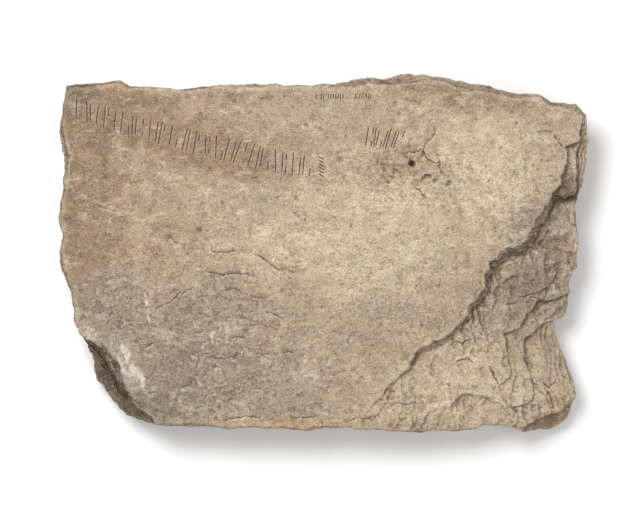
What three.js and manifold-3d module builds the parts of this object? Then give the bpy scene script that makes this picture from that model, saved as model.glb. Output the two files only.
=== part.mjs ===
// A rune stone: one flat slab of limestone, split along its bedding, broken all round its edge and
// lying face up. The lower right of the face has flaked off in steps down to older beds, the lower
// left corner is chipped, and two rows of shallow strokes are cut into the smooth upper part.
//
// Millimetres, +Z up. X runs along the slab and Y across it. The origin is on the underside, at the
// centre of the slab's bounding rectangle.
import * as THREE from "three";
import { mergeVertices } from "three/addons/utils/BufferGeometryUtils.js";
import Module from "manifold-3d";

const wasm = await Module();
wasm.setup();

// Driving dimensions
const LENGTH = 1010;
const WIDTH = 684;
const THICKNESS = 112;

const OUTLINE_STEP = 15; // longest straight stretch of the broken edge
const OUTLINE_ROUGHNESS = 1.6; // how far such a stretch wanders from the line between two corners
const BREAK_STEP = 9; // the same for the upper edge of a break
const BREAK_ROUGHNESS = 2.2;
const CLEAR = 14; // how far a cutting solid stands above the face

const STROKE_WIDTH = 3;
const STROKE_DEPTH = 2;
const STROKE_TAPER = 5; // length over which a stroke runs out at each end

// The edge, clockwise from the upper left corner. Each corner is [x, y, rim], and rim is how far the
// arris of the face is set back there.
const TOP_EDGE = [
  [-490, 316, 7], [-443, 320, 6], [-404, 325, 5], [-388, 325, 5], [-371, 315, 4], [-294, 317, 4],
  [-264, 311, 4], [-197, 321, 5],
  [-150, 315, 4], [-104, 322, 6], [-20, 316, 5], [33, 322, 9], [75, 332, 18], [117, 331, 17],
  [151, 340, 17], [224, 334, 9], [300, 321, 17], [361, 304, 12], [414, 302, 7], [437, 287, 10],
  [483, 282, 10],
];
const RIGHT_EDGE = [
  [501, 263, 9], [506, 197, 7], [496, 148, 6], [494, 125, 4], [483, 92, 5], [482, 64, 6], [490, 7, 8],
  [487, -24, 8], [472, -56, 6], [472, -104, 4], [468, -117, 4], [445, -127, 3], [457, -180, 5],
  [481, -238, 8], [490, -270, 10], [484, -298, 12], [474, -322, 12], [457, -333, 12],
];
const BOTTOM_EDGE = [
  [438, -338, 10], [386, -340, 6], [353, -327, 4], [307, -328, 4], [294, -336, 4], [148, -338, 4],
  [52, -331, 4], [5, -329, 5], [-33, -335, 5], [-157, -330, 4], [-300, -325, 4], [-338, -322, 4],
];
const LOWER_LEFT_EDGE = [
  [-377, -307, 4], [-393, -297, 4], [-398, -285, 4], [-419, -266, 4], [-427, -252, 4],
  [-440, -241, 4], [-443, -222, 4], [-446, -192, 4], [-457, -163, 4], [-473, -134, 5],
];
const LEFT_EDGE = [
  [-479, -73, 5], [-501, -31, 9], [-506, 3, 9], [-500, 33, 6], [-508, 68, 6], [-497, 140, 5],
  [-493, 182, 9], [-502, 231, 8], [-496, 277, 5], [-495, 298, 6],
];

// Beds in the broken edge, from the top down: [height as a share of the thickness, inset].
const BEDS = [[0.75, 2], [0.71, 7], [0.46, 3], [0.41, 11], [0.12, 9]];
const BED_ROUGHNESS = 6;
const FOOT_INSET = 16;

// Stretches of the face that have split off. Each line is the upper edge of the step, as [x, y, drop],
// where drop is the height of the step. Its wall goes down by steepness, and the broken surface falls
// away by fall, for each millimetre in the toward direction.
const MAIN_BREAK = {
  line: [
    [530, 142, 24], [491, 130, 24], [479, 124, 23], [464, 118, 21], [455, 113, 20], [445, 117, 20],
    [436, 119, 20], [430, 98, 22], [418, 79, 23], [404, 62, 24], [396, 45, 25], [388, 25, 26],
    [370, 13, 26], [351, 10, 25], [330, -6, 25], [311, -17, 25], [316, -28, 25], [311, -39, 24],
    [309, -61, 22], [297, -80, 20], [277, -100, 18], [275, -115, 17],
    [256, -136, 15], [231, -157, 13], [195, -174, 11], [174, -188, 10], [163, -211, 8],
    [132, -241, 5], [108, -271, 3.5], [81, -298, 2.5], [60, -350, 2],
  ],
  toward: -45,
  fall: 0.075,
  steepness: 1.5,
  rows: [12, 30, 52, 78, 108, 142, 180, 222, 268, 318, 372],
};
const SHELF_BREAK = {
  line: [
    [530, 216, 5], [481, 209, 5], [462, 203, 5], [464, 180, 6], [456, 155, 7], [451, 130, 8],
    [437, 117, 8], [430, 90, 8],
  ],
  toward: -20,
  fall: 0.06,
  steepness: 2,
  rows: [12, 28, 50, 80],
};
const SIDE_BREAK = {
  line: [
    [491, 245, 4], [486, 209, 7], [483, 185, 8], [484, 160, 8], [481, 120, 8], [470, 85, 7],
    [474, 50, 5],
  ],
  toward: 0,
  fall: 0.5,
  steepness: 2,
  rows: [10, 24],
};
const LOWER_BREAK = {
  line: [
    [510, -66, 7], [481, -73, 7], [456, -81, 7], [437, -87, 7], [416, -87, 7], [397, -106, 6],
    [388, -119, 6], [378, -140, 5], [359, -150, 5], [344, -153, 5], [349, -172, 4.5],
    [355, -197, 4], [361, -225, 4], [345, -243, 3], [331, -249, 2], [318, -254, 0.4],
  ],
  toward: -45,
  fall: 0.02,
  steepness: 1.6,
  rows: [12, 30, 55, 90, 130, 180, 240],
};
const SLOPE_BREAK = {
  line: [
    [462, -122, 5], [442, -129, 5], [422, -131, 5], [406, -148, 5], [385, -165, 4], [386, -204, 4],
    [397, -232, 4], [406, -257, 3.5], [428, -272, 3], [436, -299, 3], [440, -340, 2],
  ],
  toward: 0,
  fall: 0.08,
  steepness: 1.6,
  rows: [12, 30, 55, 85, 120],
};
const ARCH_BREAK = {
  line: [
    [150, -346, 0.4], [180, -322, 0.6], [202, -301, 1.4], [224, -289, 2.4], [246, -284, 3.2],
    [257, -272, 3.8], [271, -264, 4], [286, -263, 4], [304, -269, 3.6], [326, -277, 2.8],
    [343, -283, 1.6], [358, -298, 0.8], [372, -350, 0.5],
  ],
  toward: -90,
  fall: 0.03,
  steepness: 1.4,
  rows: [12, 30, 60, 100],
};
const TOE_BREAK = {
  line: [
    [368, -352, 6], [380, -334, 7], [406, -319, 9], [428, -305, 10], [445, -302, 10], [462, -299, 9],
    [481, -277, 8], [500, -268, 8],
  ],
  toward: -70,
  fall: 0.7,
  steepness: 1.6,
  rows: [10, 22, 45],
};
const CORNER_CHIP = {
  line: [
    [-486, -134, 18], [-462, -150, 22], [-447, -163, 24], [-420, -178, 26], [-407, -203, 26],
    [-391, -226, 25], [-383, -252, 24], [-363, -273, 22], [-351, -292, 18], [-332, -304, 14],
    [-300, -340, 8],
  ],
  toward: -135,
  fall: 0.9,
  steepness: 5,
  rows: [8, 18, 30, 45, 70],
};

// Scars where a flake has sprung off an arris: [x, y, z, half length, half width, half height, turn].
const SCARS = [
  [-250, 330, 8, 70, 20, 26, 0], [60, 338, 0, 110, 22, 30, 2], [330, 322, 6, 60, 24, 30, -15],
  [-512, 130, 4, 80, 18, 30, 88], [-500, -60, 0, 50, 22, 26, 80], [-230, -340, 2, 120, 20, 26, 0],
  [180, -346, 6, 90, 18, 34, 0], [470, -190, 0, 60, 24, 28, 78], [506, 30, 10, 60, 18, 30, 86],
  [-220, 80, -17, 120, 80, 24, 25], [270, -90, -19, 140, 70, 26, -30], [-300, -190, -18, 90, 60, 24, 60],
];
const HOLE = { x: 170, y: 171, radius: 4, depth: 16 };

// The strokes of a row, written as a pattern: | a full one, ' and , a short one at the top or the foot,
// : one of each, and a space where none is cut. A row runs along a line that levels out to the right.
const REACH = {
  "|": [[-0.5, 0.5]],
  "'": [[0.06, 0.5]],
  ",": [[-0.5, -0.06]],
  ":": [[-0.5, -0.12], [0.12, 0.5]],
};
const LEAN = -8;
const SWAY = 11;
const LONG_ROW = {
  marks: "|  || | |' | | ,|| : | ||' | , || |' |: | ,| || ' | || , | |: | || ,",
  from: [-470, 273],
  to: [-24, 164],
  bend: 1.2,
  height: 42,
};
const SHORT_ROW = {
  marks: "| :|| ,|| || '",
  from: [84, 220],
  to: [150, 214],
  bend: 1,
  height: 40,
};
const TICKS = { count: 6, length: 14, gap: 6.5, lean: 62, x: -3, y: 147 };

// A repeatable number from 0 to 1 for a whole-numbered place.
function chance(i, j = 0) {
  const wave = Math.sin(i * 127.1 + j * 311.7) * 43758.5453;
  return wave - Math.floor(wave);
}

// Smooth noise from -1 to 1 whose bumps are size across.
function noise(x, y, size) {
  const column = Math.floor(x / size);
  const row = Math.floor(y / size);
  const u = THREE.MathUtils.smoothstep(x / size - column, 0, 1);
  const v = THREE.MathUtils.smoothstep(y / size - row, 0, 1);
  const low = THREE.MathUtils.lerp(chance(column, row), chance(column + 1, row), u);
  const high = THREE.MathUtils.lerp(chance(column, row + 1), chance(column + 1, row + 1), u);
  return 2 * THREE.MathUtils.lerp(low, high, v) - 1;
}

function brokenSurface(x, y) {
  return 2.2 * noise(x, y, 46) + 1.4 * noise(x + 500, y, 21);
}

// A line of [x, y, value] corners with points added so that no stretch is longer than step. The added
// points wander by up to roughness across the line.
function roughen(corners, step, roughness, closed) {
  const points = [];
  const last = closed ? corners.length : corners.length - 1;
  for (let i = 0; i < last; i++) {
    const a = corners[i];
    const b = corners[(i + 1) % corners.length];
    const span = Math.hypot(b[0] - a[0], b[1] - a[1]);
    const parts = Math.max(1, Math.round(span / step));
    const across = [-(b[1] - a[1]) / span, (b[0] - a[0]) / span];
    for (let k = 0; k < parts; k++) {
      const t = k / parts;
      const shift = k ? roughness * (2 * chance(i + 3, k + 7) - 1) : 0;
      points.push(a.map((value, n) => value + (b[n] - value) * t + (across[n] ?? 0) * shift));
    }
  }
  if (!closed) points.push([...corners.at(-1)]);
  return points;
}

// A solid from a geometry, with the vertices that faces share merged.
function solidOf(geometry) {
  const bare = geometry.clone();
  bare.deleteAttribute("normal");
  bare.deleteAttribute("uv");
  const merged = mergeVertices(bare, 1e-3);
  return new wasm.Manifold(new wasm.Mesh({
    numProp: 3,
    vertProperties: new Float32Array(merged.getAttribute("position").array),
    triVerts: new Uint32Array(merged.index.array),
  }));
}

function geometryOf(solid) {
  const mesh = solid.getMesh();
  const geometry = new THREE.BufferGeometry();
  geometry.setAttribute("position", new THREE.BufferAttribute(mesh.vertProperties, 3));
  geometry.setIndex(new THREE.BufferAttribute(mesh.triVerts, 1));
  geometry.computeVertexNormals();
  return geometry;
}

function indexed(positions, triangles) {
  const geometry = new THREE.BufferGeometry();
  geometry.setAttribute("position", new THREE.Float32BufferAttribute(positions.flat(), 3));
  geometry.setIndex(triangles.flat());
  return geometry;
}

// The whole slab before anything has broken off: rings that follow the edge, from the arris of the
// face down to the foot, closed by a flat face and a flat underside.
function slabBlank() {
  const corners = [TOP_EDGE, RIGHT_EDGE, BOTTOM_EDGE, LOWER_LEFT_EDGE, LEFT_EDGE].flat();
  const edge = roughen(corners, OUTLINE_STEP, OUTLINE_ROUGHNESS, true).reverse();
  const outline = edge.map(([x, y]) => new THREE.Vector2(x, y));
  const count = outline.length;
  const inward = outline.map((_, i) => {
    const along = outline[(i + 2) % count].clone().sub(outline[(i + count - 2) % count]).normalize();
    return new THREE.Vector2(-along.y, along.x);
  });

  const levels = [
    (i) => [THICKNESS, edge[i][2] * (1 + 0.5 * noise(i * 9, 0, 30))],
    (i) => [THICKNESS - 3 - 0.9 * edge[i][2], 0],
    ...BEDS.map(([share, inset], bed) => (i) => [
      THICKNESS * share + 5 * noise(i * 15, 200 * Math.floor(bed / 2), 90),
      Math.max(0, inset + BED_ROUGHNESS * noise(i * 15, 60 * bed, 45) - 0.3 * bared(edge[i][0], edge[i][1])),
    ]),
    (i) => [0, FOOT_INSET + 5 * noise(i * 15, 900, 60)],
  ];
  const positions = levels.flatMap((level) => outline.map((point, i) => {
    const [z, inset] = level(i);
    return [point.x + inward[i].x * inset, point.y + inward[i].y * inset, z];
  }));

  const triangles = [];
  for (let ring = 0; ring + 1 < levels.length; ring++) {
    for (let i = 0; i < count; i++) {
      const upper = ring * count;
      const lower = upper + count;
      const next = (i + 1) % count;
      triangles.push([upper + i, lower + i, lower + next], [upper + i, lower + next, upper + next]);
    }
  }
  const foot = (levels.length - 1) * count;
  const ringShape = (first) => positions.slice(first, first + count).map(([x, y]) => new THREE.Vector2(x, y));
  for (const [a, b, c] of THREE.ShapeUtils.triangulateShape(ringShape(0), [])) triangles.push([a, b, c]);
  for (const [a, b, c] of THREE.ShapeUtils.triangulateShape(ringShape(foot), [])) {
    triangles.push([foot + c, foot + b, foot + a]);
  }
  return solidOf(indexed(positions, triangles));
}

// A break laid out for cutting: the points of its line, and how far its surface lies below the face at
// any place. That adds to the depth of the break it is cut into, if there is one.
function layOut({ line, toward, fall, rows, steepness }, under = () => 0) {
  const angle = THREE.MathUtils.degToRad(toward);
  const out = new THREE.Vector2(Math.cos(angle), Math.sin(angle));
  const along = new THREE.Vector2(out.y, -out.x);
  const steps = roughen(line, BREAK_STEP, BREAK_ROUGHNESS, false)
    .map(([x, y, drop]) => {
      const point = new THREE.Vector2(x, y);
      return { along: point.dot(along), out: point.dot(out), drop };
    })
    .sort((a, b) => a.along - b.along)
    .filter((step, i, all) => i === 0 || step.along - all[i - 1].along > 1);

  function stepAt(place) {
    const next = steps.findIndex((step) => step.along > place);
    if (next <= 0) return next === 0 ? steps[0] : steps.at(-1);
    const [a, b] = [steps[next - 1], steps[next]];
    const t = (place - a.along) / (b.along - a.along);
    return { out: a.out + (b.out - a.out) * t, drop: a.drop + (b.drop - a.drop) * t };
  }

  function depth(x, y) {
    const point = new THREE.Vector2(x, y);
    const step = stepAt(point.dot(along));
    const distance = point.dot(out) - step.out;
    return distance < 0 ? under(x, y) : under(x, y) + step.drop + fall * distance;
  }
  return { steps, along, out, rows, steepness, under, depth };
}

const MAIN = layOut(MAIN_BREAK);
const SHELF = layOut(SHELF_BREAK);
const LOWER = layOut(LOWER_BREAK, MAIN.depth);
const SLOPE = layOut(SLOPE_BREAK, LOWER.depth);
const BREAKS = [
  MAIN,
  SHELF,
  LOWER,
  SLOPE,
  layOut(SIDE_BREAK, SHELF.depth),
  layOut(ARCH_BREAK, MAIN.depth),
  layOut(TOE_BREAK, SLOPE.depth),
  layOut(CORNER_CHIP),
];

// The depth of the face below its unbroken level.
function bared(x, y) {
  return Math.max(...BREAKS.map((shape) => shape.depth(x, y)));
}

// The solid that is cut away to make a break: its floor is the broken surface, and its wall starts on
// the line and leans outward as it goes down.
function breakCutter({ steps, along, out, rows, steepness, under, depth }) {
  const rowCount = rows.length + 2;
  const positions = [];
  for (const lid of [false, true]) {
    for (const step of steps) {
      const foot = 1 + step.drop / steepness;
      [0, foot, ...rows.map((row) => foot + row)].forEach((distance, row) => {
        const x = along.x * step.along + out.x * (step.out + distance);
        const y = along.y * step.along + out.y * (step.out + distance);
        const rough = brokenSurface(x, y) * Math.min(1, step.drop / 6);
        const floor = row ? THICKNESS - depth(x, y) + rough : THICKNESS + 1 - under(x, y);
        positions.push([x, y, lid ? THICKNESS + CLEAR : floor]);
      });
    }
  }

  const lid = steps.length * rowCount;
  const at = (column, row) => column * rowCount + row;
  const triangles = [];
  const quad = (a, b, c, d) => triangles.push([a, b, c], [a, c, d]);
  for (let column = 0; column + 1 < steps.length; column++) {
    for (let row = 0; row + 1 < rowCount; row++) {
      const corners = [at(column, row), at(column, row + 1), at(column + 1, row + 1), at(column + 1, row)];
      quad(...corners);
      quad(...corners.map((corner) => corner + lid).reverse());
    }
    for (const row of [0, rowCount - 1]) {
      const wall = [at(column, row), at(column + 1, row), at(column + 1, row) + lid, at(column, row) + lid];
      quad(...(row ? wall.reverse() : wall));
    }
  }
  for (const column of [0, steps.length - 1]) {
    for (let row = 0; row + 1 < rowCount; row++) {
      const wall = [at(column, row), at(column, row + 1), at(column, row + 1) + lid, at(column, row) + lid];
      quad(...(column ? wall : wall.reverse()));
    }
  }
  return solidOf(indexed(positions, triangles));
}

function scarCutter([x, y, z, halfLength, halfWidth, halfHeight, turn]) {
  const pebble = new THREE.IcosahedronGeometry(1, 2);
  pebble.scale(halfLength, halfWidth, halfHeight);
  pebble.rotateZ(THREE.MathUtils.degToRad(turn));
  pebble.translate(x, y, z);
  return solidOf(pebble);
}

function holeCutter() {
  const drill = new THREE.CylinderGeometry(HOLE.radius, HOLE.radius * 0.6, 2 * HOLE.depth, 7);
  drill.rotateX(Math.PI / 2);
  drill.translate(HOLE.x, HOLE.y, THICKNESS);
  return solidOf(drill);
}

// A stroke is cut by a long four-sided needle that lies in the face with one edge down.
function strokeCutter(length, x, y, lean) {
  const half = length / 2;
  const needle = new THREE.LatheGeometry([
    new THREE.Vector2(0, -half),
    new THREE.Vector2(1, STROKE_TAPER - half),
    new THREE.Vector2(1, half - STROKE_TAPER),
    new THREE.Vector2(0, half),
  ], 4);
  needle.scale(STROKE_WIDTH / 2, 1, STROKE_DEPTH);
  needle.rotateZ(THREE.MathUtils.degToRad(lean));
  needle.translate(x, y, THICKNESS);
  return solidOf(needle);
}

function strokeRow({ marks, from, to, bend, height }) {
  return [...marks].flatMap((mark, i) => (REACH[mark] ?? []).map((reach, part) => {
    const t = i / (marks.length - 1);
    const x = from[0] + (to[0] - from[0]) * t;
    const y = to[1] + (from[1] - to[1]) * (1 - t) ** bend;
    const [low, high] = reach.map((end) => end * height * (0.82 + 0.3 * chance(i, 5 + part)));
    const lean = LEAN + SWAY * noise(x, 90, 30) + 3 * (2 * chance(i, 11) - 1);
    const middle = (low + high) / 2;
    const shift = -Math.tan(THREE.MathUtils.degToRad(lean)) * middle;
    return strokeCutter(high - low, x + shift, y + middle, lean);
  }));
}

function tickColumn({ count, length, gap, lean, x, y }) {
  return Array.from({ length: count }, (_, i) => strokeCutter(length, x, y + i * gap, lean));
}

function runeStone() {
  const cutters = [
    ...BREAKS.map(breakCutter),
    ...SCARS.map(scarCutter),
    holeCutter(),
    ...strokeRow(LONG_ROW),
    ...strokeRow(SHORT_ROW),
    ...tickColumn(TICKS),
  ];
  return cutters.reduce((stone, cutter) => stone.subtract(cutter), slabBlank());
}

// The finished stone fills its length and width exactly, and stands over the middle of its rectangle.
function fit(geometry) {
  geometry.computeBoundingBox();
  const size = geometry.boundingBox.getSize(new THREE.Vector3());
  const middle = geometry.boundingBox.getCenter(new THREE.Vector3());
  geometry.translate(-middle.x, -middle.y, 0);
  geometry.scale(LENGTH / size.x, WIDTH / size.y, 1);
  return geometry;
}

const limestone = new THREE.MeshStandardMaterial({ color: 0xb9a486, roughness: 0.92, metalness: 0 });
const slab = new THREE.Mesh(fit(geometryOf(runeStone())), limestone);
slab.name = "slab";

const group = new THREE.Group();
group.add(slab);

export default group;
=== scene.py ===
import itertools
import math

import bpy
import numpy as np
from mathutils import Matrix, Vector


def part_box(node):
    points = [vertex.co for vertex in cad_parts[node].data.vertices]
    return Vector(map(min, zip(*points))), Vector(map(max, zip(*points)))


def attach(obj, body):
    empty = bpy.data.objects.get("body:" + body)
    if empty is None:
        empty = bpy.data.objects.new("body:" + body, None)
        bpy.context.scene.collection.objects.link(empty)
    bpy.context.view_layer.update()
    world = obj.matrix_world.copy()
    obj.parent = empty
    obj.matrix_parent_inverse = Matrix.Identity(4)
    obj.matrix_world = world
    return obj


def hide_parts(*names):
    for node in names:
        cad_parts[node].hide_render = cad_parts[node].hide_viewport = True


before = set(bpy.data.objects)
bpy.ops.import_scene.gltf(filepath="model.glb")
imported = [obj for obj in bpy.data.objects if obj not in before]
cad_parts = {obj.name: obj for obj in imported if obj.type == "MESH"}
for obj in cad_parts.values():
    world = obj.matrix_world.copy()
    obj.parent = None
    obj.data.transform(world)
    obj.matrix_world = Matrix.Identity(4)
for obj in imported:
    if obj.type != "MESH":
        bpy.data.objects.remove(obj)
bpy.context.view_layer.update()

MM = 0.001
FACE = Vector(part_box("slab")[1]).z

# Mesh
VOXEL = 2.5 * MM
MOST_TRIANGLES = 188_000

# Strokes, which the solid cuts as V grooves
STROKE_WIDTH = 3.0 * MM
STROKE_DEPTH = 2.0 * MM
STROKE_TAPER = 5.0 * MM

# The deep hole
HOLE_RADIUS = 5 * MM
HOLE_DEPTH = 9 * MM

# Stone this close to a stroke keeps its place, so that the strokes stay straight.
STROKE_MARGIN = 12 * MM

# Stone down to the first depth counts as the unbroken face, and below the second as broken.
FACE_KEPT = 1.2 * MM
FACE_LOST = 3.5 * MM

# Nothing on the sides lower than this below the face gets the extra points of the flakes and strokes.
LOWEST_DETAIL = 70 * MM

# Places below are in millimetres from the middle of the slab, along X and Y.
HOLE = (170, 171)

# Edges of thin flakes: (path, drop, how far the lowered side reaches). The stone is lower on the left
# of the path, as it runs, or on its right where the drop is written with a minus.
FLAKES = [
    ([(-127, -43), (-138, -43), (-153, -39), (-169, -39), (-188, -42), (-202, -37), (-224, -34)], -2.4, 20),
    ([(-163, 6), (-176, 4), (-190, 2), (-203, 2), (-214, 6)], -1.7, 16),
    ([(-54, -39), (-66, -29), (-85, -32), (-98, -22), (-115, -9), (-128, -2)], -2.0, 24),
    ([(-268, -72), (-279, -82), (-289, -92), (-306, -102), (-318, -106)], -1.6, 22),
    ([(-249, -71), (-258, -69), (-266, -79)], -1.2, 10),
    ([(-153, -77), (-163, -69), (-174, -68), (-183, -72)], -2.2, 9),
    ([(-100, -84), (-113, -86), (-128, -84), (-137, -80)], -1.5, 10),
    ([(-75, -127), (-85, -120), (-100, -113), (-108, -113)], -1.4, 14),
    ([(-85, -147), (-100, -139), (-118, -137), (-143, -138)], -1.5, 12),
    ([(-102, -193), (-119, -194)], -1.6, 8),
    ([(-54, -190), (-64, -188), (-75, -192)], -1.8, 9),
    ([(-321, -169), (-334, -178), (-349, -187)], -1.2, 14),
    ([(-157, -189), (-167, -197), (-180, -199)], -1.3, 13),
    ([(-157, -190), (-187, -201), (-214, -196)], -1.0, 12),
    ([(-275, -70), (-290, -77)], -1.2, 8),
    ([(315, -16), (329, -12), (338, -18), (353, -14)], -3.0, 8),
    ([(348, 12), (361, 10), (374, 1), (384, 7)], -3.0, 8),
    ([(-270, 21), (-281, 22), (-290, 32), (-297, 20)], -1.6, 10),
    ([(-226, -151), (-244, -152)], -1.1, 8),
    ([(-147, -160), (-160, -158), (-175, -160)], -1.3, 9),
    ([(235, 147), (228, 155), (222, 163), (223, 175), (216, 170), (209, 175), (202, 180), (194, 187),
      (190, 196), (199, 210), (214, 226), (217, 240)], 1.9, 16),
    ([(190, 196), (181, 192), (174, 189), (163, 192), (152, 188)], -2.0, 12),
    ([(184, 136), (190, 147), (199, 151), (209, 150)], -2.4, 12),
    ([(176, 126), (184, 117), (192, 109), (197, 104)], 1.8, 10),
    ([(134, 163), (144, 161), (152, 156)], -1.8, 10),
    ([(103, 165), (105, 176), (109, 188)], 1.4, 10),
    ([(61, 148), (71, 160), (82, 173)], 0.9, 8),
    ([(409, 232), (424, 234), (437, 232)], -1.6, 8),
    ([(438, 224), (451, 209), (457, 202)], 1.4, 12),
    ([(132, -243), (124, -255), (116, -268)], 1.5, 12),
    ([(346, -60), (352, -52), (364, -44), (374, -42)], -2.2, 12),
    ([(443, -18), (447, -40), (441, -54), (430, -64), (411, -74), (391, -80), (374, -81)], 2.0, 22),
    ([(244, -174), (254, -166), (266, -170), (279, -161)], -2.0, 14),
    ([(252, -205), (268, -201), (278, -197), (290, -208)], -1.8, 14),
    ([(322, -222), (326, -236), (333, -246)], 1.8, 10),
    ([(424, -250), (435, -259), (447, -247), (450, -239)], 2.0, 14),
    ([(433, -262), (432, -268), (436, -273), (440, -287), (440, -298)], 2.2, 12),
    ([(403, -254), (405, -268), (401, -279), (393, -287), (384, -292), (367, -292), (357, -290)], 2.0, 12),
    ([(399, -239), (404, -249), (412, -254)], 2.6, 8),
    ([(317, -216), (321, -226), (329, -241), (336, -250)], 2.2, 10),
    ([(412, 20), (423, 30), (431, 48)], -2.0, 12),
    ([(470, 18), (462, 24), (450, 22), (440, 27)], -2.0, 14),
    ([(180, -282), (160, -288), (140, -283), (120, -296)], -1.2, 14),
    ([(-447, -171), (-434, -188), (-420, -206), (-411, -224)], 6.0, 10),
    ([(-428, -206), (-416, -226), (-401, -243), (-393, -264), (-372, -284)], 6.0, 9),
    ([(-397, -232), (-386, -246), (-376, -262), (-366, -268), (-355, -282), (-340, -297)], 1.6, 14),
    ([(-190, -318), (-150, -309), (-118, -312)], 1.6, 18),
    ([(-62, -318), (-40, -310), (-12, -313)], 1.8, 16),
    ([(40, -322), (66, -312), (96, -316)], 1.4, 14),
]

# Pale scratches: (path, width).
SCRATCHES = [
    ([(-340, -66), (-334, -96), (-327, -141)], 3.2),
    ([(-209, -132), (-209, -173)], 2.6),
    ([(-385, -166), (-374, -190), (-368, -214)], 7),
    ([(-367, -205), (-358, -226), (-348, -240)], 9),
    ([(-390, -190), (-378, -222), (-362, -240)], 6),
    ([(-353, -216), (-342, -240), (-340, -262)], 8),
    ([(-346, -252), (-330, -270), (-310, -268)], 5),
    ([(-380, -172), (-362, -196)], 4),
    ([(-20, -176), (-38, -214)], 2.2),
    ([(-6, -170), (-16, -206)], 2),
    ([(12, -198), (20, -240)], 2),
    ([(62, 150), (81, 172)], 2.2),
    ([(-151, 214), (-127, 212)], 2),
    ([(-163, 139), (-150, 153), (-137, 156)], 2),
    ([(-214, -164), (-230, -178), (-226, -190)], 2.5),
    ([(-205, -138), (-213, -160)], 2),
    ([(-183, -138), (-190, -150)], 2),
    ([(-250, -196), (-232, -202)], 2.4),
]

# Hollows under the ledge, in broken ground and round the hole: (x, y, half length, half width, turn, depth).
HOLLOWS = [
    (360, 6, 13, 5, 5, 7), (331, -15, 12, 5, 25, 7), (474, 106, 12, 9, 20, 6), (436, 96, 14, 7, 60, 4),
    (404, 47, 12, 6, 55, 4), (300, -68, 16, 6, 65, 4), (402, -246, 8, 2, -60, 3), (366, -94, 9, 2, 20, 3),
    (-392, -214, 18, 5, -62, 8),
    (-412, -186, 14, 4, -50, 6), (-380, -247, 16, 4, -55, 6), (-403, -215, 12, 8, 0, 5),
    (201, 147, 9, 4, 10, 2.5), (214, 139, 5, 4, 0, 3), (240, 131, 5, 7, 0, 3), (125, 136, 4, 3, 0, 3),
    (191, 190, 6, 3, 60, 3), (158, 165, 12, 5, 0, 1.5),
]

# Small dark spots, and as the first, painted shade inside the hole: (x, y, radius).
SPOTS_AND_HOLE_SHADE = [
    (*HOLE, 5), (-235, 45, 3.2), (283, -300, 2.6), (-188, 96, 1.8), (-52, 76, 1.6), (372, -300, 2.4),
]

# Broad areas of the patina: (x, y, half width, half height, turn in degrees, strength).
BROWN = [
    (-452, 60, 95, 250, 0, 0.9), (-390, 262, 120, 62, -10, 1.3), (-250, 205, 170, 52, -14, 1.0),
    (150, 165, 110, 46, 0, 0.6), (-300, 20, 130, 90, 10, 0.5), (60, -335, 330, 18, 0, 0.6),
    (262, 306, 210, 30, -6, 0.7), (-395, 322, 50, 16, 0, 1.0), (-60, 150, 60, 34, 0, 0.45),
    (-120, 300, 130, 26, 0, 0.5), (455, -305, 50, 30, 30, 0.9), (380, -120, 60, 50, 0, 0.5),
]
# Dark stain where the broken ground lies low: grime on the chip at the lower left, and painted shade in the
# dip by the right edge at (470, 118).
DIRT_AND_HOLLOW_SHADE = [(-415, -218, 80, 36, -58, 1.4), (-350, -300, 60, 22, -30, 1.0), (470, 118, 30, 26, 0, 1.0)]
# Areas made darker, and below them areas made lighter; the dark one at (455, 105) is painted shade in the dip
# by the right edge.
DARK = [
    (-478, 306, 46, 50, 0, 1.0), (-488, 80, 26, 190, 0, 0.5), (-367, -285, 95, 46, -25, 0.75),
    (455, 105, 26, 50, 0, 0.55), (455, -98, 34, 42, 0, 0.6), (376, -174, 50, 55, 0, 0.4),
    (-43, 197, 62, 40, 0, 0.5), (-118, 97, 64, 32, 0, 0.4), (-10, 165, 26, 60, 0, 0.35),
    (320, -120, 30, 40, 0, 0.3), (-430, 215, 60, 60, 0, 0.3), (-120, 310, 60, 16, 0, 0.2),
    (-410, 250, 60, 60, 0, 0.3), (-300, -215, 40, 30, 0, 0.4), (-230, 306, 60, 40, 0, 0.3),
    (-50, 130, 60, 70, 0, 0.25), (395, -75, 80, 60, 0, 0.6), (425, 60, 40, 60, 0, 0.25),
    (-130, -242, 14, 18, 0, 0.5),
    (-283, -261, 14, 8, 0, 0.6),
]
LIGHT = [
    (185, -306, 190, 24, 0, 0.8), (472, -275, 38, 50, 0, 1.0), (338, 54, 66, 46, 30, 0.7),
    (224, 172, 36, 26, 0, 0.6), (-62, -256, 46, 26, 0, 0.6), (-296, 52, 34, 30, 0, 0.35),
    (150, -70, 36, 26, 0, 0.5), (90, 170, 30, 30, 0, 0.3), (360, 110, 60, 90, 20, 0.6),
    (130, -308, 120, 24, 0, 0.3),
]
GREY = [
    (-280, -235, 240, 95, 8, 1.0), (-400, -140, 90, 110, 0, 0.9), (-90, -270, 150, 80, 0, 0.6),
    (-200, -110, 150, 80, 0, 0.7), (110, -120, 140, 80, 40, 0.4), (410, 0, 70, 110, 0, 1.0),
    (-440, -215, 60, 60, 0, 1.0),
]
CREAM = [
    (60, 60, 230, 140, 0, 1.0), (300, 150, 150, 120, 0, 0.9), (-110, 90, 180, 80, 0, 0.6),
    (-130, -8, 90, 40, 0, 0.5), (290, -240, 150, 70, 0, 1.0), (330, 230, 150, 50, 0, 0.6),
]
RUST = [
    (-70, -326, 34, 14, 0, 1.0), (-30, -328, 60, 9, 0, 0.5), (352, -26, 24, 18, -30, 0.55),
    (455, 8, 36, 26, 0, 0.5), (400, 5, 60, 60, 0, 0.35), (462, -300, 34, 18, 20, 0.6),
    (-396, 322, 40, 9, 0, 0.9),
]
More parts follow.
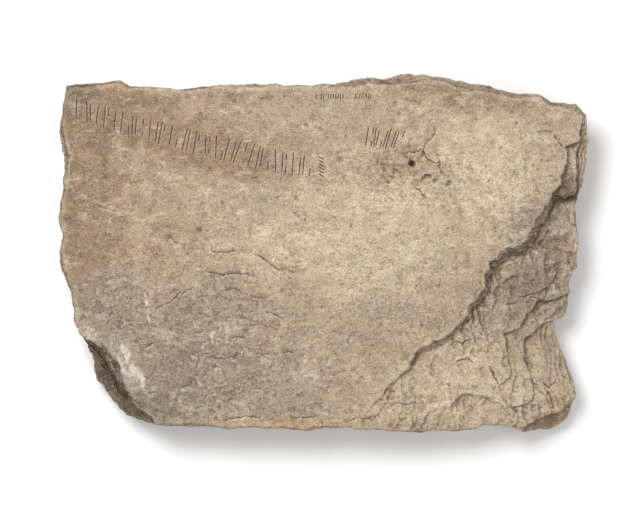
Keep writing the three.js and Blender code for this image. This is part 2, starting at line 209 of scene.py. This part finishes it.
# Where the break steps down most raggedly, and broken ground that came away smooth.
LEDGE = [(330, -20, 110, 190, -40, 1.0), (-400, -220, 60, 90, 30, 0.8)]
SMOOTH = [
    (425, -195, 44, 72, -15, 1.0), (428, 38, 40, 46, 0, 0.9), (300, -292, 70, 26, 0, 0.9),
    (190, -245, 70, 44, 0, 0.8), (290, -200, 60, 44, 0, 0.7), (465, -315, 44, 30, 20, 1.0),
]
DUST = [(-356, -240, 60, 26, -55, 0.6), (-372, -196, 26, 44, 20, 0.5), (-392, -166, 30, 20, -40, 0.5)]


# Rows of ink ticks near the top: (left, right, middle height, tick length, pitch).
INK_ROWS = [(-14, 46, 298, 11, 4.6), (60, 92, 299, 12, 4.2)]


# ---- helpers

def alone(piece):
    """Select one piece and nothing else, and make it the active one."""
    bpy.ops.object.select_all(action="DESELECT")
    piece.select_set(True)
    bpy.context.view_layer.objects.active = piece


def places_of(mesh, what="co"):
    """The points of a mesh, or their normals, as rows of three numbers."""
    values = np.empty(len(mesh.vertices) * 3)
    mesh.vertices.foreach_get(what, values)
    return values.reshape(-1, 3)


def ease(low, high, values):
    """0 below low, 1 above high, and a smooth rise between."""
    share = np.clip((values - low) / (high - low), 0, 1)
    return share * share * (3 - 2 * share)


def bumps(places, size, seed):
    """Smooth noise from -1 to 1 with bumps of one size, at places in two or three dimensions."""
    dimensions = places.shape[1]
    side = 128 if dimensions == 2 else 48
    table = np.random.default_rng(seed).uniform(-1, 1, (side,) * dimensions)
    turn = math.radians(31 * seed)
    cells = places / size + 0.37 * seed
    x, y = cells[:, 0].copy(), cells[:, 1].copy()
    cells[:, 0] = x * math.cos(turn) - y * math.sin(turn)
    cells[:, 1] = x * math.sin(turn) + y * math.cos(turn)
    whole = np.floor(cells).astype(int)
    part = cells - whole
    part = part * part * (3 - 2 * part)
    total = np.zeros(len(places))
    for corner in itertools.product((0, 1), repeat=dimensions):
        weight = np.prod(np.where(corner, part, 1 - part), axis=1)
        total += weight * table[tuple(((whole + corner) % side).T)]
    return total


def fractal(places, size, octaves, seed, keep=0.5):
    """Noise with bumps of several sizes, each finer one lower by the share that is kept."""
    return sum(keep**n * bumps(places, size / 2.1**n, seed + n) for n in range(octaves))


def bedded(level, bed, sharpness=0.86):
    """A level that climbs in steps of one bed, with a short steep rise at the end of each."""
    whole = np.floor(level / bed)
    return bed * (whole + ease(sharpness, 1.0, level / bed - whole))


def stretched(places, turn, factor):
    """Places for a noise that is drawn out by a factor along a direction in degrees."""
    angle = math.radians(turn)
    along = places[:, 0] * math.cos(angle) + places[:, 1] * math.sin(angle)
    across = places[:, 1] * math.cos(angle) - places[:, 0] * math.sin(angle)
    return np.stack([along / factor, across], axis=1)


def blot(places, areas):
    """How far each place lies inside soft-edged oval areas."""
    total = np.zeros(len(places))
    for x, y, half_width, half_height, turn, strength in areas:
        angle = math.radians(turn)
        dx, dy = places[:, 0] - x * MM, places[:, 1] - y * MM
        along = (dx * math.cos(angle) + dy * math.sin(angle)) / (half_width * MM)
        across = (dy * math.cos(angle) - dx * math.sin(angle)) / (half_height * MM)
        total = np.maximum(total, strength * np.exp(-0.8 * (along**2 + across**2)))
    return total


def measure(places, path):
    """Distance from a path, plus on its left and minus on its right, and the share of it covered."""
    path = np.asarray(path, float)
    spans = np.linalg.norm(np.diff(path, axis=0), axis=1)
    starts = np.concatenate([[0], np.cumsum(spans)])
    nearest = np.full(len(places), np.inf)
    side = np.ones(len(places))
    covered = np.zeros(len(places))
    for a, b, span, start in zip(path, path[1:], spans, starts):
        along = (b - a) / span
        offset = places[:, :2] - a
        t = np.clip(offset @ along, 0, span)
        distance = np.linalg.norm(offset - t[:, None] * along, axis=1)
        closer = distance < nearest
        nearest[closer] = distance[closer]
        cross = along[0] * offset[:, 1] - along[1] * offset[:, 0]
        side[closer] = np.sign(cross[closer])
        covered[closer] = (start + t[closer]) / starts[-1]
    return nearest * side, covered


def near(places, path, reach):
    """The numbers of the places in the box around a path."""
    path = np.asarray(path, float)
    low, high = path.min(axis=0) - reach, path.max(axis=0) + reach
    return np.flatnonzero(((places[:, :2] > low) & (places[:, :2] < high)).all(axis=1))


# ---- the relief

def swell(places):
    """The gentle rise and fall of the bedding plane."""
    flat = places[:, :2]
    return 1.5 * MM * bumps(flat, 0.17, 3) + 0.6 * MM * bumps(flat, 0.06, 5)


def groove_lines(solid):
    """The strokes as pairs of ends, read from the floors of the V grooves in the solid."""
    floor = FACE - STROKE_DEPTH
    lines = []
    for edge in solid.edges:
        a, b = (solid.vertices[v].co for v in edge.vertices)
        if max(abs(a.z - floor), abs(b.z - floor)) < 0.02 * MM:
            along = (b - a).normalized() * STROKE_TAPER
            lines.append(np.array([(a - along)[:2], (b + along)[:2]]))
    return lines


def near_any(places, paths, reach):
    """Which places lie within reach of any of the paths."""
    close = np.zeros(len(places), bool)
    for path in paths:
        at = near(places, path, reach)
        close[at] |= np.abs(measure(places[at], path)[0]) < reach
    return close


def refine(piece, paths, reach, cuts):
    """Divide the mesh faces near some paths, down to a little below the deepest broken ground."""
    mesh = piece.data
    places = places_of(mesh)
    close = near_any(places, paths, reach) & (places[:, 2] > FACE - LOWEST_DETAIL)
    corners = np.empty(len(mesh.loops), int)
    mesh.loops.foreach_get("vertex_index", corners)
    starts = np.empty(len(mesh.polygons), int)
    mesh.polygons.foreach_get("loop_start", starts)
    faces = np.logical_or.reduceat(close[corners], starts)
    for kind in (mesh.vertices, mesh.edges, mesh.polygons):
        kind.foreach_set("select", np.zeros(len(kind), bool))
    mesh.polygons.foreach_set("select", faces)
    alone(piece)
    bpy.ops.object.mode_set(mode="EDIT")
    bpy.ops.mesh.select_mode(type="FACE")
    bpy.ops.mesh.subdivide(number_cuts=cuts)
    bpy.ops.object.mode_set(mode="OBJECT")


def in_metres(entries):
    """Entries that start with a path, with that path in metres."""
    return [(np.array(path) * MM, *rest) for path, *rest in entries]


def flake_marks(places):
    """For each flake edge: the places near it, their distance on its lowered side, its strength there,
    its drop and its reach."""
    for path, drop, reach in in_metres(FLAKES):
        at = near(places, path, 3 * reach * MM)
        wobble = 1.8 * MM * fractal(places[at][:, :2], 9 * MM, 2, 21)
        distance, covered = measure(places[at], path)
        distance = (distance + wobble) * math.copysign(1, drop)
        fade = np.sqrt(np.clip(2.5 * np.sin(math.pi * covered), 0, 1))
        yield at, distance, fade, abs(drop) * MM, reach * MM


def flake_relief(places):
    """The thin flakes: a small cliff along each path, and a lowered side that rises back again."""
    lift = np.zeros(len(places))
    for at, distance, fade, drop, reach in flake_marks(places):
        cliff = ease(0, 1.6 * MM, distance)
        lowered = cliff * np.exp(-np.clip(distance, 0, None) / reach)
        raised = (1 - cliff) * np.exp(np.clip(distance, None, 0) / (0.5 * reach))
        ends = np.exp(-np.clip(np.abs(distance) - reach, 0, None) / reach)
        lift[at] += drop * fade * ends * (0.15 * raised - lowered)
    return lift


def face_relief(places):
    """Thin flaked beds on the unbroken face, boldest in the grey and rough areas, and its roughness."""
    flat = places[:, :2]
    rough = blot(places, [(176, 152, 80, 42, 0, 1.0)])
    flaky = 0.3 + 0.7 * np.maximum(blot(places, GREY), rough)
    rise = 3.2 * MM * fractal(stretched(flat, 8, 1.7), 0.08, 5, 31, 0.55)
    lift = swell(places)
    lift += flaky * (bedded(rise, 1.1 * MM, 0.9) - 0.6 * rise)
    lift += 0.4 * MM * fractal(flat, 0.024, 4, 41, 0.6)
    lift += rough * (2.0 * MM * fractal(flat, 0.03, 4, 51, 0.65) - 1.2 * MM)
    return lift


def pit_relief(places):
    """Small round and oval pits, strewn over the whole face, as a lift below zero."""
    chance = np.random.default_rng(61)
    depth = np.zeros(len(places))
    for x, y in chance.uniform((-0.48, -0.32), (0.46, 0.3), (420, 2)):
        radius = chance.uniform(1.4, 3.6) * MM
        drop = chance.uniform(0.4, 1.3) * MM
        stretch, turn = chance.uniform(1, 2.2), chance.uniform(0, math.pi)
        at = near(places, [(x, y)], 2 * stretch * radius)
        dx, dy = places[at, 0] - x, places[at, 1] - y
        along = (dx * math.cos(turn) + dy * math.sin(turn)) / stretch
        across = dy * math.cos(turn) - dx * math.sin(turn)
        depth[at] += drop * np.exp(-((along**2 + across**2) / radius**2))
    return -depth


def hollow_relief(places):
    """The hollows, as a lift below zero."""
    depth = np.zeros(len(places))
    for x, y, half_length, half_width, turn, drop in HOLLOWS:
        at = near(places, [(x * MM, y * MM)], 2.5 * half_length * MM)
        depth[at] += drop * MM * blot(places[at], [(x, y, half_length, half_width, turn, 1.0)])
    return -depth


def broken_relief(places):
    """The beds that the broken ground steps down through, and its roughness."""
    flat = places[:, :2]
    rise = 6 * MM * fractal(stretched(flat, -55, 1.6), 0.1, 2, 71, 0.5)
    rise += 0.6 * MM * fractal(flat, 0.02, 3, 75, 0.6)
    level = places[:, 2] + rise
    rugged = 0.35 + 0.65 * ease(-0.2, 0.3, fractal(flat, 0.06, 2, 97))
    rugged *= 1 - 0.8 * blot(places, SMOOTH)
    lift = rugged * (bedded(level, 3.6 * MM, 0.88) - level + 0.5 * rise)
    lift += rugged * 1.5 * MM * fractal(flat, 0.022, 4, 81, 0.7)
    from_middle = flat - (0.392, -0.02)
    ripple = np.hypot(*from_middle.T) + 3 * MM * bumps(flat, 0.03, 95)
    shell = np.exp(-((ripple - 0.052) / 0.02) ** 2) * ease(-0.2, 0.6, from_middle @ (0.6, -0.8) / ripple)
    lift += 0.5 * MM * shell * np.sin(ripple / 0.022 * 2 * math.pi)
    return lift


def ragged_shift(places):
    """How far broken edges wander to either side: two shifts, along X and Y."""
    reach = (1.6 + 2.2 * blot(places, LEDGE)) * MM
    return reach[:, None] * np.stack([fractal(places, 0.03, 4, seed, 0.65) for seed in (121, 131)], axis=1)


def layered_relief(places):
    """How far the broken edge stands out or back, bed by bed."""
    flat = places[:, :2]
    warped = places[:, 2] + 4 * MM * bumps(flat, 0.12, 101)
    beds = np.stack([warped, 0.25 * (flat[:, 0] + flat[:, 1])], axis=1)
    out = 1.6 * MM * np.sign(bumps(beds, 0.011, 103)) * np.sqrt(np.abs(bumps(beds, 0.011, 103)))
    out += 1.0 * MM * bumps(beds, 0.0045, 105)
    out += 1.6 * MM * fractal(places, 0.028, 4, 107, 0.6)
    return out


def foot_relief(places):
    """The split underside: shallow hollows, so that the slab still rests on its flat parts."""
    rise = 0.9 * MM * np.abs(fractal(places[:, :2], 0.05, 3, 111))
    return np.where(places[:, 2] < 30 * MM, rise, 0)


def carve_strokes(places, strokes):
    """Cut each stroke crisply to its depth, running out at both ends."""
    for path in strokes:
        at = near(places, path, STROKE_WIDTH)
        distance, covered = measure(places[at], path)
        length = np.linalg.norm(path[1] - path[0])
        ends = np.clip(np.minimum(covered, 1 - covered) * length / STROKE_TAPER, 0, 1)
        depth = STROKE_DEPTH * ends * np.clip(1 - 2 * np.abs(distance) / STROKE_WIDTH, 0, 1)
        places[at, 2] -= np.where(places[at, 2] > FACE - 8 * MM, depth, 0)


def sink_hole(places):
    """Deepen the hole that the solid starts."""
    away = np.hypot(places[:, 0] - HOLE[0] * MM, places[:, 1] - HOLE[1] * MM)
    on_top = places[:, 2] > FACE - 12 * MM
    places[:, 2] -= HOLE_DEPTH * np.exp(-(away / HOLE_RADIUS) ** 4) * on_top


def sculpt(piece, strokes):
    """Move the points of the slab: relief up and down, and its broken edges out and back."""
    mesh = piece.data
    places = places_of(mesh)
    normals = places_of(mesh, "normal")
    upward = ease(0.35, 0.8, normals[:, 2])
    downward = ease(0.35, 0.8, -normals[:, 2])
    steep = 1 - upward - downward
    on_face = upward * ease(FACE_LOST, FACE_KEPT, FACE - places[:, 2])

    near_stroke = near_any(places, strokes, 0.5 * STROKE_WIDTH + VOXEL)
    flush = near_stroke & (places[:, 2] > FACE - 3 * MM)
    places[flush, 2] = FACE
    on_face[flush] = 1
    upward[flush], steep[flush] = 1, 0

    lift = on_face * face_relief(places) + (upward - on_face) * broken_relief(places)
    lift += upward * (flake_relief(places) + pit_relief(places) + hollow_relief(places))
    lift += downward * foot_relief(places)

    free = np.where(near_any(places, strokes, STROKE_MARGIN), 0, 1)
    wander = free[:, None] * ragged_shift(places)
    outward = normals[:, :2] / np.maximum(np.linalg.norm(normals[:, :2], axis=1), 0.2)[:, None]
    places[:, :2] += (steep * layered_relief(places))[:, None] * outward + wander
    places[:, 2] += lift

    carve_strokes(places, strokes)
    sink_hole(places)
    places[:, 2] = np.maximum(places[:, 2], 0)
    mesh.vertices.foreach_set("co", places.ravel())
    mesh.update()


# ---- masks for the finish

def smoothed(values, edges, rounds):
    """Values at the points of a mesh, averaged with their neighbours a number of times."""
    count = np.bincount(edges.ravel(), minlength=len(values))[:, None]
    for _ in range(rounds):
        total = np.zeros_like(values)
        for column in range(values.shape[1]):
            total[:, column] = np.bincount(edges[:, 0], values[edges[:, 1], column], len(values))
            total[:, column] += np.bincount(edges[:, 1], values[edges[:, 0], column], len(values))
        values = 0.5 * values + 0.5 * total / np.maximum(count, 1)
    return values


def groove_mask(places, strokes):
    """Where the brown pigment lies, along the middle of each stroke."""
    groove = np.zeros(len(places))
    for path in strokes:
        at = near(places, path, STROKE_WIDTH)
        distance, covered = measure(places[at], path)
        length = np.linalg.norm(path[1] - path[0])
        ends = ease(0, 0.5, np.minimum(covered, 1 - covered) * length / STROKE_TAPER)
        filled = ends * ease(0.56 * STROKE_WIDTH, 0.16 * STROKE_WIDTH, np.abs(distance))
        groove[at] = np.maximum(groove[at], np.where(places[at, 2] > FACE - 12 * MM, filled, 0))
    return groove


def scratch_mask(places):
    """Where the pale scuffs lie."""
    scratch = np.zeros(len(places))
    for path, width in in_metres(SCRATCHES):
        at = near(places, path, 2 * width * MM)
        distance, covered = measure(places[at], path)
        fade = np.sqrt(np.clip(np.sin(math.pi * covered), 0, 1))
        streak = fade * ease(width * MM, 0.2 * width * MM, np.abs(distance))
        scratch[at] = np.maximum(scratch[at], streak * (places[at, 2] > FACE - 9 * MM))
    return scratch


def crack_masks(places):
    """The distance in millimetres from the nearest flake edge, and how strongly that edge shows."""
    crack = np.full(len(places), 12.0)
    strength = np.zeros(len(places))
    for at, distance, fade, drop, _ in flake_marks(places):
        closer = np.abs(distance / MM) < np.abs(crack[at])
        crack[at[closer]] = distance[closer] / MM
        strength[at[closer]] = fade[closer] * min(1, 0.5 + 0.3 * drop / MM)
    return crack, strength


def spot_and_hole_shade_mask(places):
    """Where the small dark spots lie, and the painted shade inside the hole."""
    spot_and_hole_shade = np.zeros(len(places))
    for x, y, radius in SPOTS_AND_HOLE_SHADE:
        away = np.hypot(places[:, 0] / MM - x, places[:, 1] / MM - y)
        inside = np.clip(2 - away / radius, 0, 1) * (places[:, 2] > FACE - 60 * MM)
        spot_and_hole_shade = np.maximum(spot_and_hole_shade, inside)
    return spot_and_hole_shade


def hollowness(mesh, places):
    """How far each place lies below its neighbourhood, in millimetres, at three sizes."""
    normals = places_of(mesh, "normal")
    edges = np.empty(len(mesh.edges) * 2, int)
    mesh.edges.foreach_get("vertices", edges)
    edges = edges.reshape(-1, 2)
    return [((smoothed(places, edges, rounds) - places) * normals).sum(axis=1) / MM for rounds in (2, 14, 70)]


def paint_masks(piece, strokes):
    """Write every mask that the finish reads onto the points of the slab."""
    mesh = piece.data
    places = places_of(mesh)
    fine, broad, wide = hollowness(mesh, places)
    crack, crack_depth = crack_masks(places)
    sunk = (FACE + swell(places) - places[:, 2]) / MM
    masks = {
        "groove": groove_mask(places, strokes),
        "scratch": scratch_mask(places),
        "crack": crack,
        "crack_depth": crack_depth,
        # Dark spots, and painted shade inside the hole.
        "spot_and_hole_shade": spot_and_hole_shade_mask(places),
        # Painted shade in creases, darker the lower a place lies below its neighbours.
        "painted_crease_shade": np.clip(0.8 * ease(0.05, 0.4, fine) + 0.35 * ease(0.3, 2.2, broad), 0, 1),
        "worn": np.clip(ease(0.05, 0.4, -fine) + 0.6 * ease(0.2, 1.6, -broad), 0, 1),
        # Grime and painted shade, darkest in the broad low ground under the ledge.
        "hollow_dirt_and_shade": ease(0.4, 5, wide),
        "broken": ease(2.5, 7, sunk),
        # Painted shade where steep sides and rims turn from the light, and grime on them: darker the steeper
        # the face.
        "edge": 1 - ease(0.6, 0.94, np.abs(places_of(mesh, "normal")[:, 2])),
        "brown": blot(places, BROWN),
        "grey": blot(places, GREY),
        "cream": blot(places, CREAM),
        "rust": blot(places, RUST),
        "dust": blot(places, DUST),
        "dark": blot(places, DARK),
        "light": blot(places, LIGHT),
        # Grime on the low chip at the lower left, and painted shade in the dip by the right edge.
        "dirt_and_hollow_shade": blot(places, DIRT_AND_HOLLOW_SHADE) * ease(3, 8, sunk),
    }
    for name, values in masks.items():
        mesh.attributes.new(name, "FLOAT", "POINT").data.foreach_set("value", values)


# ---- the finish

def linear(*screen):
    """A colour from its 0 to 255 screen values, all above 10."""
    return (*(((value / 255 + 0.055) / 1.055) ** 2.4 for value in screen), 1)


def node(tree, kind, sockets=None, **settings):
    """A new node, with each of its sockets linked or set to a value."""
    made = tree.nodes.new(kind)
    for name, value in settings.items():
        setattr(made, name, value)
    for socket, value in (sockets or {}).items():
        if isinstance(value, bpy.types.NodeSocket):
            tree.links.new(value, made.inputs[socket])
        else:
            made.inputs[socket].default_value = value
    return made


def maths(tree, operation, *values):
    sockets = dict(enumerate(values))
    return node(tree, "ShaderNodeMath", sockets, operation=operation).outputs[0]


def mixed(tree, share, first, second, blend="MIX"):
    sockets = {0: share, 6: first, 7: second}
    return node(tree, "ShaderNodeMix", sockets, data_type="RGBA", blend_type=blend).outputs[2]


def laid_over(tree, stone, share, strength, colour):
    """A screen colour laid over the stone by a mask, up to a strength."""
    return mixed(tree, maths(tree, "MULTIPLY", share, strength), stone, linear(*colour))


def mask(tree, name):
    return node(tree, "ShaderNodeAttribute", attribute_name=name).outputs["Fac"]


def grain(tree, where, size, detail=3, roughness=0.55, distortion=0.0, offset=0.0):
    """Noise from 0 to 1 with lumps of a size in millimetres."""
    shift = (offset, -offset, 0.3 * offset)
    moved = node(tree, "ShaderNodeVectorMath", {0: where, 1: shift}, operation="ADD")
    return node(tree, "ShaderNodeTexNoise", {
        "Vector": moved.outputs[0], "Scale": 1 / (size * MM), "Detail": detail,
        "Roughness": roughness, "Distortion": distortion,
    }).outputs["Fac"]


def remapped(tree, value, low, high, to_low=0.0, to_high=1.0):
    return node(tree, "ShaderNodeMapRange", {
        "Value": value, "From Min": low, "From Max": high, "To Min": to_low, "To Max": to_high,
    }, interpolation_type="SMOOTHSTEP").outputs["Result"]


def ragged(tree, name, noise, reach=0.6):
    """A mask whose soft edge is broken up by noise."""
    spread = maths(tree, "MULTIPLY_ADD", noise, reach, -0.5 * reach)
    return remapped(tree, maths(tree, "ADD", mask(tree, name), spread), 0.15, 0.85)


def ink_ticks(tree, where, left, right, level, height, pitch):
    """A short row of hand-inked ticks, all in millimetres, with some missing and none alike."""
    parts = node(tree, "ShaderNodeSeparateXYZ", {0: where})
    along = maths(tree, "DIVIDE", maths(tree, "SUBTRACT", parts.outputs["X"], left * MM), pitch * MM)
    number = maths(tree, "FLOOR", along)
    chance = node(tree, "ShaderNodeTexWhiteNoise", {"W": number}, noise_dimensions="1D")
    above = maths(tree, "SUBTRACT", parts.outputs["Y"], level * MM)
    lean = maths(tree, "MULTIPLY", above, 0.12 / (pitch * MM))
    place = maths(tree, "FRACT", maths(tree, "SUBTRACT", along, lean))
    middle = maths(tree, "ABSOLUTE", maths(tree, "SUBTRACT", place, 0.5))
    tall = maths(tree, "MULTIPLY_ADD", chance.outputs["Value"], 0.2 * height * MM, 0.3 * height * MM)
    ticks = maths(tree, "LESS_THAN", middle, 0.16)
    for limit in (
        maths(tree, "LESS_THAN", maths(tree, "ABSOLUTE", above), tall),
        maths(tree, "GREATER_THAN", chance.outputs["Value"], 0.18),
        maths(tree, "GREATER_THAN", parts.outputs["X"], left * MM),
        maths(tree, "LESS_THAN", parts.outputs["X"], right * MM),
    ):
        ticks = maths(tree, "MULTIPLY", ticks, limit)
    return ticks


def stone_noises(tree, where):
    """The noises that the finish shares, from cloudy patches down to specks."""
    flow = {"Vector": where, "Rotation": (0, 0, -0.2), "Scale": (0.55, 1, 1)}
    drawn_out = node(tree, "ShaderNodeMapping", flow).outputs[0]
    return {
        "cloud": grain(tree, where, 30, 5, 0.7, 0.3, 3.1),
        "mottle": grain(tree, where, 11, 4, 0.75, 0.2, 7.7),
        "speck": grain(tree, where, 2.4, 1, 0.7, 0.0, 1.9),
        "veins": grain(tree, drawn_out, 26, 6, 0.68, 0.6, 5.3),
        "tone": grain(tree, where, 28, 5, 0.88, 0.0, 9.1),
        "patch": grain(tree, where, 60, 4, 0.6, 0.5, 2.3),
        "warmth": grain(tree, where, 75, 5, 0.7, 0.3, 6.1),
        "contour": grain(tree, drawn_out, 34, 6, 0.62, 0.0, 4.7),
    }


def ground_colour(tree, noise):
    """The stone's own colour and its broad patina."""
    broken = maths(tree, "MULTIPLY", mask(tree, "broken"), 0.7)
    stone = mixed(tree, broken, linear(168, 149, 126), linear(172, 153, 131))
    for name, edge, colour in (
        ("cream", "cloud", (189, 171, 145)),
        ("brown", "cloud", (145, 123, 100)),
        ("grey", "veins", (143, 130, 114)),
    ):
        stone = mixed(tree, ragged(tree, name, noise[edge], 1.6), stone, linear(*colour))
    stone = laid_over(tree, stone, ragged(tree, "rust", noise["mottle"], 0.9), 0.65, (172, 128, 88))
    warmth = remapped(tree, noise["warmth"], 0.4, 0.6)
    tint = mixed(tree, warmth, (1.025, 0.992, 0.99, 1), (0.99, 1.004, 0.975, 1))
    return mixed(tree, 1.0, stone, tint, "MULTIPLY")


def weathered(tree, stone, noise):
    """Veins, stains, grime and painted shade in what lies low, painted shade and grime on steep sides, wear
    on what stands out, dust and pale scuffs.
    """
    for share, strength, colour in (
        (remapped(tree, noise["veins"], 0.54, 0.62), 0.38, (208, 193, 170)),
        (remapped(tree, noise["cloud"], 0.46, 0.36), 0.28, (128, 108, 88)),
        # Painted shade and grime on the steep sides and rims.
        (mask(tree, "edge"), 0.7, (118, 100, 82)),
        # Grime and painted shade in the broad low ground, such as under the ledge.
        (mask(tree, "hollow_dirt_and_shade"), 0.65, (112, 93, 74)),
        # Grime, and painted shade in the dip by the right edge.
        (mask(tree, "dirt_and_hollow_shade"), 0.8, (92, 77, 62)),
        # Painted shade in the creases.
        (mask(tree, "painted_crease_shade"), 0.65, (84, 69, 54)),
        (mask(tree, "worn"), 0.3, (208, 194, 172)),
        (ragged(tree, "dust", noise["mottle"], 0.9), 0.4, (206, 196, 178)),
        (ragged(tree, "scratch", noise["mottle"], 1.3), 0.55, (222, 214, 200)),
    ):
        stone = laid_over(tree, stone, share, strength, colour)
    return stone


def contour_shown(tree, noise):
    """The patches of stone where the contour shows as a hairline."""
    return remapped(tree, noise["cloud"], 0.5, 0.56)


def cracked(tree, stone, noise):
    """Hairlines along a contour of one noise, and dark cracks along the flake edges."""
    from_contour = maths(tree, "ABSOLUTE", maths(tree, "SUBTRACT", noise["contour"], 0.5))
    hairline = remapped(tree, from_contour, 0.006, 0.001)
    hairline = maths(tree, "MULTIPLY", hairline, contour_shown(tree, noise))
    stone = laid_over(tree, stone, hairline, 0.5, (104, 86, 68))

    wobble = maths(tree, "MULTIPLY_ADD", noise["mottle"], 5.0, -3.1)
    from_crack = maths(tree, "ABSOLUTE", maths(tree, "ADD", mask(tree, "crack"), wobble))
    crack = maths(tree, "MULTIPLY", remapped(tree, from_crack, 1.4, 0.3), mask(tree, "crack_depth"))
    return laid_over(tree, stone, crack, 0.85, (78, 62, 46))


def toned(tree, stone, noise):
    """Lighter and darker areas, and the grain."""
    uneven = remapped(tree, noise["cloud"], 0.35, 0.65, 0.5, 1.5)
    shade = maths(tree, "MULTIPLY_ADD", noise["tone"], 1.4, 0.3)
    # Darker and lighter areas; the darkening in the dip by the right edge is painted shade.
    for name, change in (("dark", -0.36), ("light", 0.17)):
        area = maths(tree, "MULTIPLY", mask(tree, name), uneven)
        shade = maths(tree, "MULTIPLY", shade, maths(tree, "MULTIPLY_ADD", area, change, 1.0))
    shade = maths(tree, "MULTIPLY", shade, maths(tree, "MULTIPLY_ADD", noise["speck"], 1.7, 0.15))
    return node(tree, "ShaderNodeVectorMath", {0: stone, "Scale": shade}, operation="SCALE").outputs[0]


def marked(tree, stone, where, noise):
    """Dark spots and painted shade inside the hole, the brown pigment in the strokes, and the ink ticks near
    the top.
    """
    # Dark spots, and painted shade inside the hole.
    stone = laid_over(tree, stone, mask(tree, "spot_and_hole_shade"), 0.85, (66, 50, 38))
    filling = remapped(tree, noise["mottle"], 0.4, 0.55, 0.75, 0.97)
    stone = laid_over(tree, stone, mask(tree, "groove"), filling, (86, 56, 40))
    rows = (ink_ticks(tree, where, *row) for row in INK_ROWS)
    ink = maths(tree, "ADD", *rows)
    return laid_over(tree, stone, ink, remapped(tree, noise["speck"], 0.3, 0.5, 0.8, 1.0), (26, 20, 17))


def grain_bump(tree, noise):
    """The finest relief: lumps and specks, and the low steps along the hairlines."""
    rough = maths(tree, "MULTIPLY_ADD", remapped(tree, noise["patch"], 0.4, 0.6), 0.7, 0.45)
    lumps = maths(tree, "MULTIPLY", noise["mottle"], 3.2)
    height = maths(tree, "MULTIPLY", maths(tree, "MULTIPLY_ADD", noise["speck"], 0.9, lumps), rough)
    step = remapped(tree, noise["contour"], 0.494, 0.506)
    step = maths(tree, "MULTIPLY", step, contour_shown(tree, noise))
    height = maths(tree, "MULTIPLY_ADD", step, 0.7, height)
    return node(tree, "ShaderNodeBump", {"Strength": 1.0, "Distance": 1.0 * MM, "Height": height})


def limestone():
    """The weathered stone, from its ground colour up to the marks on it."""
    material = bpy.data.materials.new("weathered_limestone")
    material.use_nodes = True
    tree = material.node_tree
    shader = tree.nodes["Principled BSDF"]
    where = node(tree, "ShaderNodeTexCoord").outputs["Object"]
    noise = stone_noises(tree, where)

    stone = ground_colour(tree, noise)
    stone = weathered(tree, stone, noise)
    stone = cracked(tree, stone, noise)
    stone = toned(tree, stone, noise)
    stone = marked(tree, stone, where, noise)

    tree.links.new(stone, shader.inputs["Base Color"])
    tree.links.new(remapped(tree, noise["mottle"], 0.3, 0.7, 0.82, 0.96), shader.inputs["Roughness"])
    tree.links.new(grain_bump(tree, noise).outputs["Normal"], shader.inputs["Normal"])
    shader.inputs["Specular IOR Level"].default_value = 0.3
    return material


# ---- the piece

def even_copy():
    """A copy of the solid with its shared corners merged, evened out to a fine mesh, and its strokes."""
    piece = bpy.data.objects.new("dressed_slab", bpy.data.objects["slab"].data.copy())
    bpy.context.collection.objects.link(piece)
    piece.data.materials.clear()
    alone(piece)
    bpy.ops.object.mode_set(mode="EDIT")
    bpy.ops.mesh.select_all(action="SELECT")
    bpy.ops.mesh.remove_doubles(threshold=0.01 * MM)
    bpy.ops.object.mode_set(mode="OBJECT")
    strokes = groove_lines(piece.data)

    remesh = piece.modifiers.new("even_mesh", "REMESH")
    remesh.mode = "VOXEL"
    remesh.voxel_size = VOXEL
    bpy.ops.object.modifier_apply(modifier=remesh.name)
    return piece, strokes


def thin_out(piece):
    """Bring the mesh down to its number of triangles, keeping them where the shape needs them."""
    triangles = sum(len(face.vertices) - 2 for face in piece.data.polygons)
    thin = piece.modifiers.new("thin_out", "DECIMATE")
    thin.ratio = min(1, MOST_TRIANGLES / triangles)
    thin.use_collapse_triangulate = True
    bpy.ops.object.modifier_apply(modifier=thin.name)


def dress_slab():
    """The whole stone, with its relief and its finish."""
    piece, strokes = even_copy()
    refine(piece, [path for path, *_ in in_metres(FLAKES)], 4 * MM, 1)
    refine(piece, strokes, STROKE_WIDTH, 3)
    sculpt(piece, strokes)
    thin_out(piece)
    bpy.ops.object.shade_smooth()
    paint_masks(piece, strokes)
    piece.data.materials.append(limestone())

    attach(piece, "root")
    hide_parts("slab")


# ---- the studio

def studio():
    """A pale floor, soft light all round, and two softboxes."""
    bpy.ops.mesh.primitive_plane_add(size=14, location=(0, 0, 0))
    floor = bpy.context.object
    floor.name = "floor"
    paper = bpy.data.materials.new("studio_paper")
    paper.use_nodes = True
    shader = paper.node_tree.nodes["Principled BSDF"]
    shader.inputs["Base Color"].default_value = (0.93, 0.93, 0.93, 1)
    shader.inputs["Roughness"].default_value = 0.9
    floor.data.materials.append(paper)

    world = bpy.data.worlds.new("studio")
    world.use_nodes = True
    background = world.node_tree.nodes["Background"]
    background.inputs["Color"].default_value = (1, 1, 1, 1)
    background.inputs["Strength"].default_value = 0.5
    bpy.context.scene.world = world
    for name, place, size, power in (
        ("key_softbox", (-1.2, 1.45, 3.15), 1.6, 106),
        ("fill_softbox", (1.5, -1.2, 3.4), 2.8, 30),
    ):
        lamp = bpy.data.lights.new(name, "AREA")
        lamp.size = size
        lamp.energy = power
        holder = bpy.data.objects.new(name, lamp)
        holder.location = place
        holder.rotation_euler = (-Vector(place)).to_track_quat("-Z", "Y").to_euler()
        bpy.context.collection.objects.link(holder)


def camera():
    """Straight above the face, with X to the right and Y up."""
    lens = bpy.data.cameras.new("overhead")
    lens.lens, lens.sensor_width = 120, 36
    view_width = 1215 * MM
    holder = bpy.data.objects.new("overhead", lens)
    holder.location = (-4.8 * MM, -4.8 * MM, FACE + view_width * lens.lens / lens.sensor_width)
    bpy.context.collection.objects.link(holder)
    bpy.context.scene.camera = holder


bpy.ops.object.select_all(action="DESELECT")
bpy.context.scene.view_settings.view_transform = "Standard"
camera()
dress_slab()
studio()
